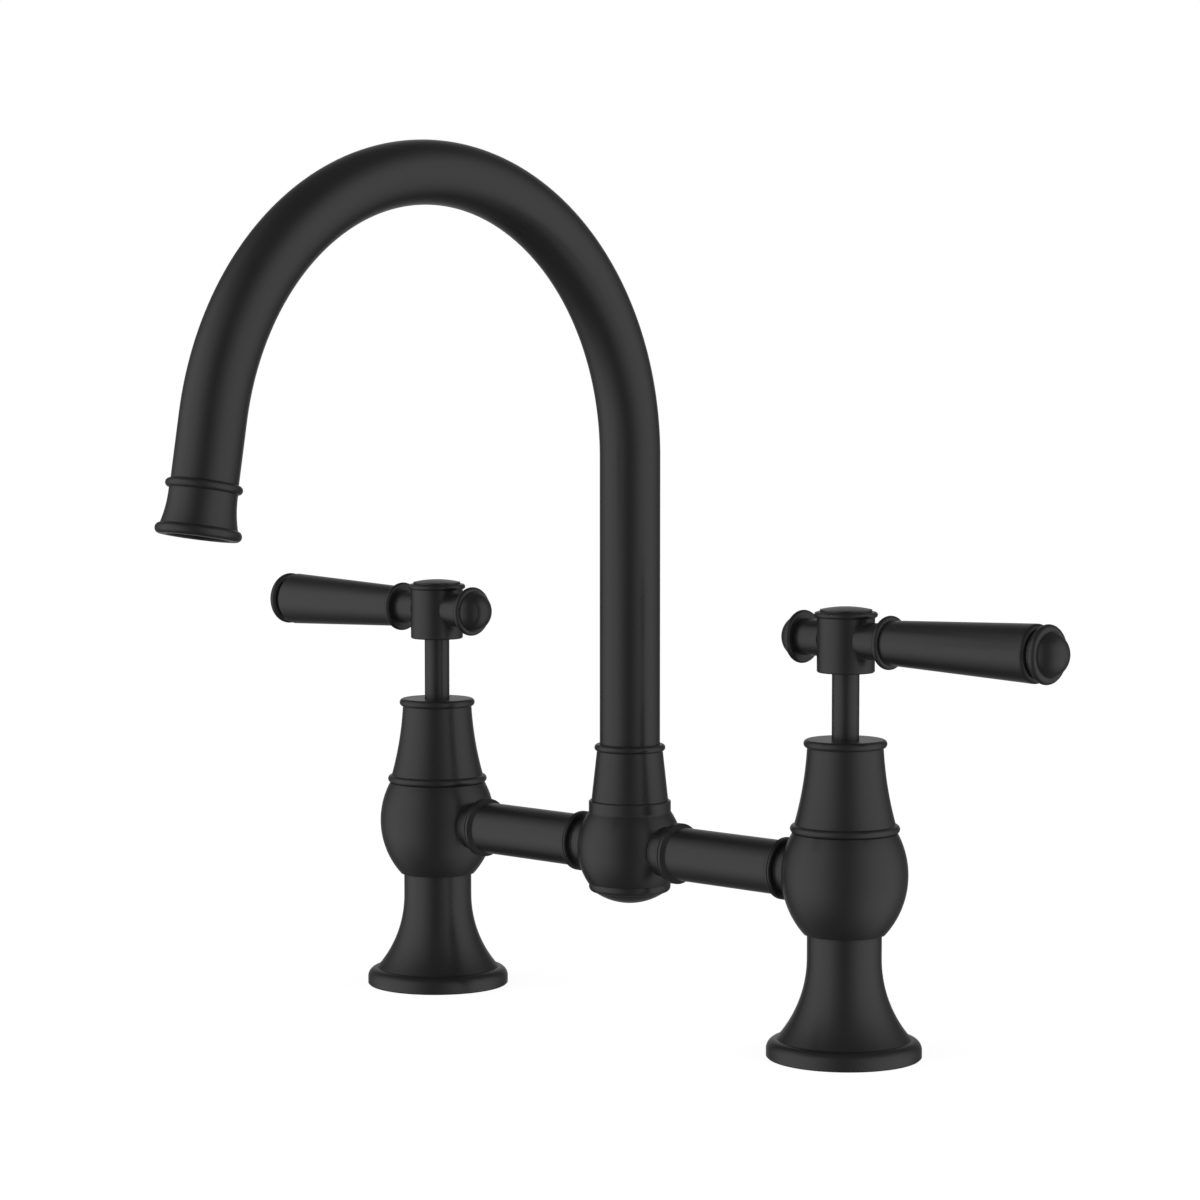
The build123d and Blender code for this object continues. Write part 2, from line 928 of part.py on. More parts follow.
washer_top = -worktop
steel_top = washer_top - rubber_washer_thickness
nut_face = steel_top - steel_washer_thickness

# Each side's own pieces
for name, side in sides.items():
    here = pillar(side)
    write(f"skirt_{name}", here * skirt())
    write(f"inlet_shank_{name}", here * inlet_shank())
    write(f"valve_body_{name}", here * valve_body(side))
    write(f"bonnet_{name}", here * bonnet())
    write(f"cartridge_{name}", here * cartridge())
    write(f"bridge_tube_{name}", bridge(side) * bridge_tube())
    write(f"moving_disc_{name}", here * moving_disc())
    write(f"spindle_{name}", here * spindle())
    write(f"spindle_clip_{name}", here * spindle_clip())
    write(f"spindle_orings_{name}", [here * seal for seal in spindle_orings()])
    write(f"stem_{name}", here * stem())
    write(f"hub_{name}", here * hub())
    write(f"hub_screw_{name}", here * hub_screw())
    write(f"hub_cap_{name}", here * hub_cap())
    write(f"knob_{name}", lever(side) * Rot(0, 180, 0) * knob())
    write(f"ferrule_{name}", lever(side) * ferrule())
    write(f"grip_{name}", lever(side) * grip())
    write(f"end_cap_{name}", lever(side) * end_cap())
    write(f"lever_stud_{name}", lever(side) * lever_stud())

# Like pieces of both sides
write("base_gaskets", both(base_gasket()))
write("clamp_washers_rubber", both(clamp_washer(washer_top, rubber_washer_thickness)))
write("clamp_washers_steel", both(clamp_washer(steel_top, steel_washer_thickness)))
write("back_nuts", both(back_nut(nut_face)))
write("seat_seals", both(seat_seal()))
write("cartridge_gaskets", both(cartridge_gasket()))
write("fixed_discs", both(ceramic_disc(fixed_disc_foot, 90)))
write("bridge_collars", bridge_collars())
write("bridge_orings", bridge_orings())

# Centre
write("centre_body", centre_body())
write("bottom_cap", bottom_cap())
write("spout_nut", spout_nut())
write("spout_bearing", spout_bearing())

# Spout
write("spout_tube", spout_tube())
write("spout_tail", spout_tail())
write("spout_clip", spout_clip())
write("spout_orings", spout_orings())
write("outlet_shell", outlet * outlet_shell())
write("aerator_seal", outlet * aerator_seal())
write("aerator_housing", outlet * aerator_housing())
write("aerator_screen", outlet * aerator_screen())
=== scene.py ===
# %% [markdown]
# # A bridge kitchen faucet with a satin black coating
#
# Two valve pillars stand on the worktop. A bridge of two tubes joins them, a gooseneck spout
# swivels on the bridge's middle, and a quarter-turn lever sits on top of each pillar. The solids
# come ready-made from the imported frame. This script gives them their finish, and remakes the
# pieces that need more than a plain solid can show: the smooth bend of the spout, the screw
# threads, the chamfered nuts and the wire gauze in the outlet.

# %% Load the frame
import bpy
import bmesh
import math
from mathutils import Matrix, Vector


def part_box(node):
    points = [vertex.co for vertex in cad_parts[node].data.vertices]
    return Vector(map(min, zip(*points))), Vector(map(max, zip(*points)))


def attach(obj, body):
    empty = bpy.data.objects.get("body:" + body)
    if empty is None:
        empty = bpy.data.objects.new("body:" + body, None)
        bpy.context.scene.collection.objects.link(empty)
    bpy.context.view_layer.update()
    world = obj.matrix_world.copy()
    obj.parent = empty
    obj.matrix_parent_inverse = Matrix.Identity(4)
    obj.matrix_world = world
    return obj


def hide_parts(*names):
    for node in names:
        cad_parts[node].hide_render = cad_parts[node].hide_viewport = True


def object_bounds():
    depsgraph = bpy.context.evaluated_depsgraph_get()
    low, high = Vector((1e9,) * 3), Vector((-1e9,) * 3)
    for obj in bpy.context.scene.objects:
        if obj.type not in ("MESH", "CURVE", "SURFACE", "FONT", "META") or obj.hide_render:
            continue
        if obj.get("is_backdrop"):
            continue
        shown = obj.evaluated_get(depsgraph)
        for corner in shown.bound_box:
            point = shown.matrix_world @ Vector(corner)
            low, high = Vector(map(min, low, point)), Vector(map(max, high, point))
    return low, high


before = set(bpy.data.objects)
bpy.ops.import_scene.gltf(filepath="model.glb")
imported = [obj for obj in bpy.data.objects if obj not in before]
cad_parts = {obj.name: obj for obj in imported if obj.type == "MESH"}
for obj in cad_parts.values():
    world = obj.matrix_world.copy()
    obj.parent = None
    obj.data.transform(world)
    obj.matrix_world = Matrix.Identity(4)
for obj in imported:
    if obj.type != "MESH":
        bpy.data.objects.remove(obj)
cad_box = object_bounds()
mm = 0.001


# %% [markdown]
# ## Sizes that come from the frame
#
# Every new piece has to sit exactly where its solid does. So its place is read from the box of
# that solid, and only what a box can't tell, such as a pitch or a wall, is a number here.

# %% Read boxes
def middle(node):
    """Centre of a node's box."""
    low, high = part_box(node)
    return (low + high) / 2


def half_width(node):
    """Half of a node's box along X: the radius of an upright turned piece."""
    low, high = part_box(node)
    return (high.x - low.x) / 2


sides = ("left", "right")
pillar_x = {side: middle(f"stem_{side}").x for side in sides}
tube_radius = half_width("spout_tube")
print("pillars at x =", {side: round(x / mm, 2) for side, x in pillar_x.items()}, "mm")
print("spout tube diameter:", round(2 * tube_radius / mm, 2), "mm")


# %% [markdown]
# ## The camera
#
# The faucet was photographed from its front right, a little above the bridge, with a long lens.
# The place and the focal length below were solved from the outlines of the pillars, the bridge
# and the arch. A long lens keeps upright edges parallel, so the camera has no shift.

# %% Camera
camera_place = Vector((850.3, -908.7, 244.3)) * mm
camera_turn = math.radians(43.60)
camera_tilt = math.radians(4.172)

photo_camera = bpy.data.cameras.new("photo_camera")
photo_camera.sensor_width = 36.0
photo_camera.lens = 102.93
camera = bpy.data.objects.new("photo_camera", photo_camera)
camera.location = camera_place
camera.rotation_euler = (math.pi / 2 - camera_tilt, 0, camera_turn)
scene = bpy.context.scene
scene.collection.objects.link(camera)
scene.camera = camera
print("camera is", round(camera_place.length, 3), "m from the origin")


# %% [markdown]
# ## Helpers for nodes
#
# Shaders and Geometry Nodes are both node trees, so one function can add a node to either, set
# its options and fill its inputs. An input takes a value, or a link if it is given a socket, and
# a node stands for its own first output. Inputs go by name, but a Mix node's go by number, since
# they share their names: 0 is the factor, 2 and 3 are its values, and 6 and 7 its colours. The
# last function turns an sRGB hex colour, as a designer writes it, into the linear one that a
# shader expects.

# %% Node and colour helpers
def empty_tree(owner):
    """The node tree of a material or a world, with nothing in it."""
    owner.use_nodes = True
    owner.node_tree.nodes.clear()
    return owner.node_tree


def add(tree, kind, inputs=(), **options):
    """Add a node, set its options, and fill its inputs in order, or by name from a dict."""
    node = tree.nodes.new(kind)
    for name, value in options.items():
        setattr(node, name, value)
    for key, value in inputs.items() if isinstance(inputs, dict) else enumerate(inputs):
        if isinstance(value, bpy.types.Node):
            value = value.outputs[0]
        if isinstance(value, bpy.types.NodeSocket):
            tree.links.new(value, node.inputs[key])
        else:
            node.inputs[key].default_value = value
    return node


def linear(code):
    """An sRGB hex colour as linear red, green, blue and alpha."""
    levels = [int(code[place:place + 2], 16) / 255 for place in (1, 3, 5)]
    return [v / 12.92 if v <= 0.04045 else ((v + 0.055) / 1.055) ** 2.4 for v in levels] + [1.0]


print("black #303030 is", round(linear("#303030")[0], 4), "in linear light")


# %% [markdown]
# ## How every finish starts
#
# A finish here is one Principled shader whose colour, roughness and normal come from patterns.
# The patterns read Object coordinates, which are metres on the object itself, so a pattern keeps
# its real size and stays in place when a lever or the spout turns. A slow noise is the base of
# all of them, because no real surface has exactly the same tone and gloss all over.

# %% Start a material and vary it
noise_low, noise_high = 0.3, 0.7  # a noise seldom leaves these values


def start_material(name):
    """A material with a Principled shader, its tree and its Object coordinates."""
    material = bpy.data.materials.new(name)
    tree = empty_tree(material)
    shader = add(tree, "ShaderNodeBsdfPrincipled")
    add(tree, "ShaderNodeOutputMaterial", {"Surface": shader})
    place = add(tree, "ShaderNodeTexCoord").outputs["Object"]
    return material, tree, shader, place


def vary(tree, shader, place, width, colours, roughness):
    """Drive colour and roughness between two values each, by a noise of that width."""
    noise = add(tree, "ShaderNodeTexNoise", {"Vector": place, "Scale": 1 / width, "Detail": 3})
    dark, light = colours
    tone = add(tree, "ShaderNodeMix", {0: noise, 6: linear(dark), 7: linear(light)},
               data_type="RGBA").outputs[2]
    smooth, dull = roughness
    gloss = add(tree, "ShaderNodeMapRange", {
        "Value": noise, "From Min": noise_low, "From Max": noise_high,
        "To Min": smooth, "To Max": dull,
    })
    tree.links.new(tone, shader.inputs["Base Color"])
    tree.links.new(gloss.outputs[0], shader.inputs["Roughness"])
    return tone


print("a noise is full between", noise_low, "and", noise_high)


# %% [markdown]
# ## Satin black coating
#
# The faucet is brass with a fired-on black coating. Such a coat is neither paint-glossy nor dead
# matt: it flows before it sets, which leaves a very shallow orange peel, here half a millimetre
# across, and rounds every sharp edge a little. A bevel node gives the shading of that rounding,
# because it reads the real mesh around each point. Where its normal leaves the true one there is
# an edge, and there the coat is painted slightly lighter: partly a painted highlight along the
# edge, partly the rubbing of handling.

# %% Satin black coating
coat_patch_width = 14 * mm  # of the slow changes of tone and gloss
peel_width = 0.55 * mm
peel_depth = 0.0025 * mm
edge_radius = 0.30 * mm
edge_start, edge_full = 0.99, 0.80  # likeness of both normals where the lighter edge (rubbing and painted highlight) starts, is full


# To the eye it is an even black with wide soft highlights, a little paler on its edges from rubbing
# and a painted edge highlight.
def satin_black_coating():
    """The coating of all that the photograph shows."""
    material, tree, shader, place = start_material("satin_black_coating_on_brass")
    tone = vary(tree, shader, place, coat_patch_width, ("#2C2C2C", "#303030"), (0.27, 0.31))
    rounded = add(tree, "ShaderNodeBevel", {"Radius": edge_radius}, samples=6)
    true_normal = add(tree, "ShaderNodeNewGeometry").outputs["Normal"]
    likeness = add(tree, "ShaderNodeVectorMath", [rounded, true_normal], operation="DOT_PRODUCT")
    edge = add(tree, "ShaderNodeMapRange", {
        "Value": likeness.outputs["Value"], "From Min": edge_start, "From Max": edge_full,
    })
    # Edges and creases are painted lighter: a painted highlight along them, together with the
    # rubbed coat.
    rubbed_and_sheen = add(tree, "ShaderNodeMix", {0: edge, 6: tone, 7: linear("#383838")},
                 data_type="RGBA")
    peel = add(tree, "ShaderNodeTexNoise",
               {"Vector": place, "Scale": 1 / peel_width, "Detail": 1.5})
    dimples = add(tree, "ShaderNodeBump", {
        "Height": peel, "Distance": peel_depth, "Strength": 1.0, "Normal": rounded,
    })
    tree.links.new(rubbed_and_sheen.outputs[2], shader.inputs["Base Color"])
    tree.links.new(dimples.outputs[0], shader.inputs["Normal"])
    return material


satin_black = satin_black_coating()
print("made", satin_black.name)


# %% [markdown]
# ## Turned brass and turned stainless steel
#
# The shanks, nuts and cartridges under the coating's reach are bare brass, and the washers, clips,
# screws and studs are stainless steel. All of it came off a lathe. The tool leaves one fine groove
# each turn: rings on a flat face, bands on a cylinder. Radius plus height is the same all along
# such a groove on either, so one wave of that sum draws both. Every turned piece stands on the
# middle axis or on a pillar's, and wrapping X at the spacing of these axes finds the nearest one.
# A real feed of 0.1 mm is too fine to show, so the grooves are drawn 0.3 mm apart.

# %% Turned metals
groove_pitch = 0.3 * mm
groove_depth = 0.003 * mm
stain_width = 6 * mm
axis_spacing = abs(pillar_x["left"])  # from the middle axis to a pillar's


def turned_metal(name, colours, roughness):
    """A bare metal with the grooves of a lathe tool."""
    material, tree, shader, place = start_material(name)
    vary(tree, shader, place, stain_width, colours, roughness)
    along = add(tree, "ShaderNodeSeparateXYZ", [place]).outputs
    across = add(tree, "ShaderNodeMath", [along["X"], axis_spacing / 2, -axis_spacing / 2],
                 operation="WRAP")
    flat = add(tree, "ShaderNodeCombineXYZ", {"X": across, "Y": along["Y"]})
    radius = add(tree, "ShaderNodeVectorMath", [flat], operation="LENGTH").outputs["Value"]
    tool_path = add(tree, "ShaderNodeMath", [radius, along["Z"]], operation="ADD")
    turn = add(tree, "ShaderNodeMath", [tool_path, 2 * math.pi / groove_pitch],
               operation="MULTIPLY")
    groove = add(tree, "ShaderNodeMath", [turn], operation="SINE")
    cut = add(tree, "ShaderNodeBump", {"Height": groove, "Distance": groove_depth, "Strength": 1.0})
    tree.links.new(cut.outputs[0], shader.inputs["Normal"])
    shader.inputs["Metallic"].default_value = 1.0
    return material


# Brass gives a warm shine with a few dull stains, and steel a cool and slightly cleaner one.
turned_brass = turned_metal("turned_brass", ("#B8924E", "#D2AE66"), (0.26, 0.38))
turned_steel = turned_metal("turned_stainless_steel", ("#A9A9AB", "#C6C6C8"), (0.24, 0.36))
print("made", turned_brass.name, "and", turned_steel.name)


# %% [markdown]
# ## Rubber, ceramic and plastics
#
# The seals are black rubber, moulded in a blasted tool, so they are dull with a fine grain. The
# valve discs are alumina ceramic, lapped flat until they seal against each other, which leaves them
# almost glossy. The spout turns in a white acetal ring, and the housing in the outlet is moulded
# black plastic. All four are the same three layers: a grain as bump, a slow change of tone, and a
# slow change of gloss. Only their sizes and colours differ.

# %% Moulded and lapped materials
moulded_patch_width = 5 * mm


def grained(name, colours, roughness, grain_width, grain_depth, ior):
    """A material with the grain that its tool or its lapping left."""
    material, tree, shader, place = start_material(name)
    vary(tree, shader, place, moulded_patch_width, colours, roughness)
    grain = add(tree, "ShaderNodeTexNoise",
                {"Vector": place, "Scale": 1 / grain_width, "Detail": 2})
    relief = add(tree, "ShaderNodeBump",
                 {"Height": grain, "Distance": grain_depth, "Strength": 1.0})
    tree.links.new(relief.outputs[0], shader.inputs["Normal"])
    shader.inputs["IOR"].default_value = ior
    return material


# Each finish gives the eye something of its own: rubber a dead black that still shows its form,
# ceramic a hard clean shine, acetal a waxy white, and the moulded black a slight sparkle.
moulded_rubber = grained(
    "moulded_black_rubber", ("#1A1A1A", "#232323"), (0.70, 0.85), 0.25 * mm, 0.020 * mm, 1.52)
lapped_ceramic = grained(
    "lapped_alumina_ceramic", ("#DEDAD0", "#EBE8E0"), (0.14, 0.22), 0.10 * mm, 0.001 * mm, 1.76)
white_acetal = grained(
    "white_acetal", ("#DCDAD2", "#EAE8E1"), (0.34, 0.44), 0.40 * mm, 0.006 * mm, 1.48)
moulded_plastic = grained(
    "moulded_black_plastic", ("#202021", "#29292A"), (0.42, 0.52), 0.30 * mm, 0.012 * mm, 1.49)
print("made", [m.name for m in (moulded_rubber, lapped_ceramic, white_acetal, moulded_plastic)])


# %% [markdown]
# ## Dressing the solids
#
# Most solids already have the right shape, so they only swap their plain material for a finish. An
# imported slot carries the name of its material in the record, which says which finish it wants.

# %% Dress the solids
finishes = {
    "black_finish": satin_black,
    "black_grip": satin_black,
    "brass": turned_brass,
    "steel": turned_steel,
    "rubber": moulded_rubber,
    "ceramic": lapped_ceramic,
    "bearing_plastic": white_acetal,
    "aerator_plastic": moulded_plastic,
}
dressed = 0
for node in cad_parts.values():
    for slot in node.material_slots:
        slot.material = finishes[slot.material.name.split(".")[0]]
        dressed += 1
print("dressed", dressed, "slots")


# %% [markdown]
# ## Helpers for Geometry Nodes
#
# A Geometry Nodes tree makes a shape by rule. It is built with named inputs for its sizes, put on
# a blank mesh as a modifier, and evaluated. The result is then copied as a plain mesh and the
# modifier goes away, so what is left is an ordinary object that anything can use. Every piece
# made here hides the solid it stands for, moves with that solid's body and wears a finish.

# %% Geometry Nodes helpers
sharp_angle = math.radians(35)  # faces that meet at more than this keep a sharp edge


def start_shape(name, sizes):
    """A tree with one named input for each size, and the outputs of its input node."""
    tree = bpy.data.node_groups.new(name, "GeometryNodeTree")
    tree.interface.new_socket("Blank", in_out="INPUT", socket_type="NodeSocketGeometry")
    tree.interface.new_socket("Shape", in_out="OUTPUT", socket_type="NodeSocketGeometry")
    for label, value in sizes.items():
        kind = "NodeSocketInt" if isinstance(value, int) else "NodeSocketFloat"
        tree.interface.new_socket(label, in_out="INPUT", socket_type=kind)
    return tree, add(tree, "NodeGroupInput").outputs


def end_shape(tree, geometry, finish):
    """Close a tree: its instances become real, and it gets its finish."""
    real = add(tree, "GeometryNodeRealizeInstances", [geometry])
    painted = add(tree, "GeometryNodeSetMaterial", {"Geometry": real, "Material": finish})
    add(tree, "NodeGroupOutput", {"Shape": painted})


def grow(name, blank, tree, sizes, wall=0.0):
    """Run a tree on a blank and give back a plain mesh, with a wall inwards if one is asked."""
    grower = bpy.data.objects.new(name, blank)
    scene.collection.objects.link(grower)
    shape = grower.modifiers.new("shape", "NODES")
    shape.node_group = tree
    for item in tree.interface.items_tree:
        if item.name in sizes:
            shape[item.identifier] = sizes[item.name]
    if wall:
        shell = grower.modifiers.new("wall", "SOLIDIFY")
        shell.thickness = wall
        shell.offset = -1.0
        shell.use_even_offset = True
    evaluated = grower.evaluated_get(bpy.context.evaluated_depsgraph_get())
    mesh = bpy.data.meshes.new_from_object(evaluated)
    bpy.data.objects.remove(grower)
    return mesh


def place_piece(name, mesh, node, body):
    """An object at the origin with that mesh, smooth but for its real edges, in a node's stead."""
    mesh.name = name
    mesh.shade_smooth()
    mesh.set_sharp_from_angle(angle=sharp_angle)
    piece = bpy.data.objects.new(name, mesh)
    scene.collection.objects.link(piece)
    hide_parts(node)
    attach(piece, body)
    print(name, "has", sum(len(f.vertices) - 2 for f in mesh.polygons), "triangles")


# %% [markdown]
# ## The gooseneck
#
# The spout is one brass tube: a straight leg, a bend of 170 degrees and a short straight end. A
# pipe bender makes it by rolling the tube round a former. A NURBS curve could only come near that
# shape. Here a straight line of points is bent by the bender's own rule. A point's way past the
# start of the bend is laid round the former, up to the whole bend's length: the point is turned
# about the former's middle by that length over the radius. What is left of its way stays
# straight. A circle swept along the bent line gives the tube, and Solidify gives it its wall.

# %% Bend a line
tube_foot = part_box("spout_tube")[0].z
spout_rise = 205.7 * mm
bend_radius = 98.7 * mm
bend_angle = math.radians(170)
outlet_run = 21.1 * mm
tube_wall = 1.5 * mm

gooseneck_sizes = {
    "Foot": tube_foot,
    "Bend start": spout_rise,
    "Bend radius": bend_radius,
    "Bend length": bend_radius * bend_angle,
    "Whole length": spout_rise - tube_foot + bend_radius * bend_angle + outlet_run,
    "Tube radius": tube_radius,
    "Steps": 180,
    "Sides": 96,
}
tree, size = start_shape("gooseneck", gooseneck_sizes)
top = add(tree, "ShaderNodeCombineXYZ", {"Z": size["Whole length"]})
line = add(tree, "GeometryNodeCurvePrimitiveLine", {"End": top})
points = add(tree, "GeometryNodeResampleCurve", {"Curve": line, "Count": size["Steps"]})
reached = add(tree, "GeometryNodeSplineParameter").outputs["Length"]

leg = add(tree, "ShaderNodeMath", [size["Bend start"], size["Foot"]], operation="SUBTRACT")
past_leg = add(tree, "ShaderNodeMath", [reached, leg], operation="SUBTRACT")
laid_round = add(tree, "ShaderNodeClamp",
                 {"Value": past_leg, "Min": 0.0, "Max": size["Bend length"]})
angle = add(tree, "ShaderNodeMath", [laid_round, size["Bend radius"]], operation="DIVIDE")
straight = add(tree, "ShaderNodeMath", [reached, laid_round], operation="SUBTRACT")
height = add(tree, "ShaderNodeMath", [straight, size["Foot"]], operation="ADD")
upright = add(tree, "ShaderNodeCombineXYZ", {"Z": height})
forward = add(tree, "ShaderNodeMath", [size["Bend radius"], -1.0], operation="MULTIPLY")
former = add(tree, "ShaderNodeCombineXYZ", {"Y": forward, "Z": size["Bend start"]})
turned = add(tree, "ShaderNodeVectorRotate", {"Vector": upright, "Center": former, "Angle": angle},
             rotation_type="X_AXIS")
bent = add(tree, "GeometryNodeSetPosition", {"Geometry": points, "Position": turned})
print("the bend is", round(bend_radius * bend_angle / mm, 1), "mm long")

# %% Sweep the tube
ring = add(tree, "GeometryNodeCurvePrimitiveCircle", {
    "Resolution": size["Sides"], "Radius": size["Tube radius"],
})
swept = add(tree, "GeometryNodeCurveToMesh", {"Curve": bent, "Profile Curve": ring})
end_shape(tree, swept, satin_black)

tube = grow("gooseneck_tube", bpy.data.meshes.new("blank"), tree, gooseneck_sizes, tube_wall)
place_piece("gooseneck_tube", tube, "spout_tube", "spout")


# %% [markdown]
# ## A blank for the threaded shanks
#
# Under each pillar a brass shank goes down through the worktop. It carries the water and has a
# G 1/2 pipe thread for the back nut and for the hose below. A Screw modifier could wind the thread,
# but it leaves ends that are hard to close. So a blank is turned first, as on a lathe: a profile of
# radius and height goes round the axis. Where there will be a thread it has many rows, because the
# thread will be cut by moving points. The nuts below are turned from profiles in the same way.

# %% Turn a blank
shank_radius = half_width("inlet_shank_left")
shank_foot, shank_top = (corner.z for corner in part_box("inlet_shank_left"))
shank_bore = 7.0 * mm
shank_chamfer = 1.0 * mm
relief_foot = -46.0 * mm  # a groove between the hose's thread and the nut's
relief_top = -44.0 * mm
relief_depth = 1.2 * mm
thread_pitch = 1.814 * mm
thread_depth = 1.162 * mm
rows_per_turn = 10
shank_columns = 48


def threaded_rows(low, high):
    """Rows on the outside from low to high, close enough together for a thread."""
    count = math.ceil((high - low) / thread_pitch * rows_per_turn)
    return [(shank_radius, low + (high - low) * row / count) for row in range(count + 1)]


def turned_mesh(name, profile, columns, centre_x, place_at):
    """A closed mesh: each row of the profile becomes a ring of columns about an upright axis."""
    bm = bmesh.new()
    rings = []
    for row in profile:
        ring = []
        for column in range(columns):
            angle = 2 * math.pi * column / columns
            radius, height = place_at(row, angle)
            ring.append(bm.verts.new((
                centre_x + radius * math.cos(angle), radius * math.sin(angle), height,
            )))
        rings.append(ring)
    for first, second in zip(rings, rings[1:] + rings[:1]):
        for column in range(columns):
            after = (column + 1) % columns
            bm.faces.new((first[column], first[after], second[after], second[column]))
    bmesh.ops.recalc_face_normals(bm, faces=bm.faces)
    mesh = bpy.data.meshes.new(name)
    bm.to_mesh(mesh)
    bm.free()
    return mesh


shank_profile = [
    (shank_bore, shank_foot),
    (shank_radius - shank_chamfer, shank_foot),
    *threaded_rows(shank_foot + shank_chamfer, relief_foot),
    (shank_radius - relief_depth, relief_foot),
    (shank_radius - relief_depth, relief_top),
    *threaded_rows(relief_top, shank_top),
    (shank_bore, shank_top),
]
print("the shank's profile has", len(shank_profile), "points")


# %% [markdown]
# ## The thread
#
# A die cuts the thread by going down one pitch each turn. So for any point, its height in pitches
# minus its turns round the axis says where it is between two crests. A ping-pong of that number
# goes from crest to root and back, and its ends are cut flat, as real threads are. The cut fades in
# and out over half a pitch at the four places where the die starts and stops.

# %% Cut the thread
flank_start, flank_end = 0.08, 0.42  # in pitches from a crest: between them the depth grows
skin_tolerance = 0.01 * mm  # a point this close under the major radius is still on the outside

thread_sizes = {
    "Centre": 0.0,
    "Major radius": shank_radius,
    "Pitch": thread_pitch,
    "Depth": thread_depth,
    "First end": shank_foot + shank_chamfer,
    "Relief foot": relief_foot,
    "Relief top": relief_top,
    "Last end": shank_top,
}
tree, size = start_shape("pipe_thread", thread_sizes)
along = add(tree, "ShaderNodeSeparateXYZ", [add(tree, "GeometryNodeInputPosition")]).outputs
across = add(tree, "ShaderNodeMath", [along["X"], size["Centre"]], operation="SUBTRACT")
from_axis = add(tree, "ShaderNodeCombineXYZ", {"X": across, "Y": along["Y"]})
angle = add(tree, "ShaderNodeMath", [along["Y"], across], operation="ARCTAN2")
turns = add(tree, "ShaderNodeMath", [angle, 2 * math.pi], operation="DIVIDE")
pitches = add(tree, "ShaderNodeMath", [along["Z"], size["Pitch"]], operation="DIVIDE")
between = add(tree, "ShaderNodeMath", [pitches, turns], operation="SUBTRACT")
flank = add(tree, "ShaderNodeMath", [between, 0.5], operation="PINGPONG")
share = add(tree, "ShaderNodeMapRange", {
    "Value": flank, "From Min": flank_start, "From Max": flank_end,
})
half_pitch = add(tree, "ShaderNodeMath", [size["Pitch"], 0.5], operation="MULTIPLY")
for end in ("First end", "Relief foot", "Relief top", "Last end"):
    above = add(tree, "ShaderNodeMath", [along["Z"], size[end]], operation="SUBTRACT")
    away = add(tree, "ShaderNodeMath", [above], operation="ABSOLUTE")
    whole = add(tree, "ShaderNodeMapRange", {"Value": away, "From Max": half_pitch})
    share = add(tree, "ShaderNodeMath", [share, whole], operation="MULTIPLY")

depth = add(tree, "ShaderNodeMath", [share, size["Depth"]], operation="MULTIPLY")
outwards = add(tree, "ShaderNodeVectorMath", [from_axis], operation="NORMALIZE")
raised = add(tree, "ShaderNodeVectorMath", {0: outwards, "Scale": depth}, operation="SCALE")
sunk = add(tree, "ShaderNodeVectorMath", {0: raised, "Scale": -1.0}, operation="SCALE")
radius = add(tree, "ShaderNodeVectorMath", [from_axis], operation="LENGTH").outputs["Value"]
skin = add(tree, "ShaderNodeMath", [size["Major radius"], skin_tolerance], operation="SUBTRACT")
on_skin = add(tree, "FunctionNodeCompare", [radius, skin], operation="GREATER_THAN")
threaded = add(tree, "GeometryNodeSetPosition", {
    "Geometry": size["Blank"], "Selection": on_skin, "Offset": sunk,
})
end_shape(tree, threaded, turned_brass)

for side in sides:
    blank = turned_mesh(
        f"blank_{side}", shank_profile, shank_columns, pillar_x[side], lambda row, angle: row)
    sizes = {**thread_sizes, "Centre": pillar_x[side]}
    shank = grow(f"threaded_shank_{side}", blank, tree, sizes)
    place_piece(f"threaded_shank_{side}", shank, f"inlet_shank_{side}", "body")


# %% [markdown]
# ## Back nuts
#
# A plain hexagon looks like a toy nut, because a real one is chamfered: it was turned from a
# hexagonal bar, and the tool took off its corners at 30 degrees on both faces. That leaves the
# curved edges that every nut has. A boolean with a cone could cut them. Here the bar's own radius
# is worked out for each direction, and where it reaches past the flat washer face, the nut's face
# drops by that excess. Each row of the profile says only how far a ring is from the two faces.

# %% Chamfered nuts
nut_flats = 30.0 * mm
nut_clearance = 0.05 * mm  # between its bore and the shank
nut_bore = shank_radius + nut_clearance
nut_countersink = 0.8 * mm
nut_columns = 72  # a multiple of 12, so that every corner and every flat's middle has one
corner_slope = math.tan(math.radians(30))
washer_face_share = 0.97  # of the flats, the washer face inside the chamfer
face_radius = nut_flats / 2 * washer_face_share
flat_angle = math.pi / 3  # that one flat of the hexagon takes up

# A hexagon is wider over its corners than over its flats, so the nuts' box tells their turn.
nut_low, nut_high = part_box("back_nuts")
one_nut_width = nut_high.x - nut_low.x - 2 * axis_spacing
corners_along_x = one_nut_width > nut_flats + 1 * mm
nut_turn = 0.0 if corners_along_x else flat_angle / 2


def on_nut(row, angle):
    """Radius and height of a point: its row gives a radius, or none for the bar, and its face."""
    radius, face, inset = row
    if radius is None:
        from_flat = (angle + nut_turn) % flat_angle - flat_angle / 2
        radius = nut_flats / 2 / math.cos(from_flat)
        inset = max(radius - face_radius, 0) * corner_slope
    return radius, (nut_low.z + inset if face == "foot" else nut_high.z - inset)


nut_profile = [
    (nut_bore, "top", nut_countersink),
    (nut_bore, "foot", nut_countersink),
    (nut_bore + nut_countersink, "foot", 0),
    (face_radius, "foot", 0),
    (None, "foot", 0),
    (None, "top", 0),
    (face_radius, "top", 0),
    (nut_bore + nut_countersink, "top", 0),
]
both_nuts = bmesh.new()
for side in sides:
    both_nuts.from_mesh(
        turned_mesh(f"nut_{side}", nut_profile, nut_columns, pillar_x[side], on_nut))
nut_mesh = bpy.data.meshes.new("back_nuts")
both_nuts.to_mesh(nut_mesh)
both_nuts.free()
nut_mesh.materials.append(turned_brass)
place_piece("chamfered_back_nuts", nut_mesh, "back_nuts", "body")
print("corners of the nuts point along", "X" if corners_along_x else "Y")


